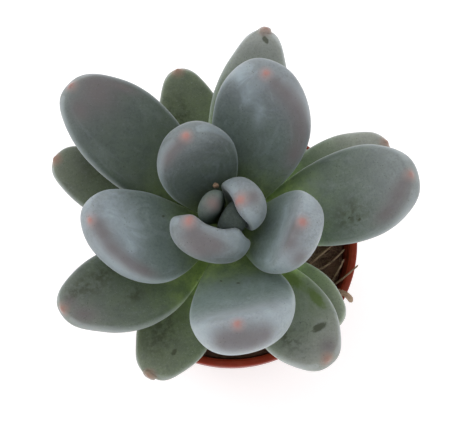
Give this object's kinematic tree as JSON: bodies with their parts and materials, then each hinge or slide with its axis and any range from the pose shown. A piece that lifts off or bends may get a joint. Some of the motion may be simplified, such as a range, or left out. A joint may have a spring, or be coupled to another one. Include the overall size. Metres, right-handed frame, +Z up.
{
  "type": "potted succulent",
  "caption": "Rosette of thick, spoon-shaped succulent leaves on a short stem, growing from soil in a small round plastic nursery pot.",
  "frame": {"origin": "centre of the pot's foot, on the surface that it stands on", "axes": "+Z up along the pot's axis; the rosette leans very slightly towards -X; -Y is the side it is mostly seen from"},
  "size_m": [0.0774, 0.0728, 0.0899],
  "materials": {
    "pot": "terracotta-red moulded plastic, satin, dusty with soil near the rim",
    "soil": null,
    "stem": "green-brown bark with leaf scars",
    "root": "dry tan fibres",
    "leaf": null
  },
  "bodies": {
    "root": {"pot": "pot", "soil": "soil", "stem": "stem", "dry_scale": "root", "root_twig": "root", "root_fibre_1": "root", "root_fibre_2": "root", "root_fibre_3": "root", "root_fibre_4": "root", "leaf_01": "leaf", "leaf_02": "leaf", "leaf_03": "leaf", "leaf_04": "leaf", "leaf_05": "leaf", "leaf_06": "leaf", "leaf_07": "leaf", "leaf_08": "leaf", "leaf_09": "leaf", "leaf_10": "leaf", "leaf_11": "leaf", "leaf_12": "leaf", "leaf_13": "leaf", "leaf_14": "leaf", "leaf_15": "leaf", "leaf_16": "leaf", "leaf_17": "leaf", "leaf_18": "leaf", "leaf_19": "leaf", "leaf_20": "leaf"}
  },
  "joints": []
}
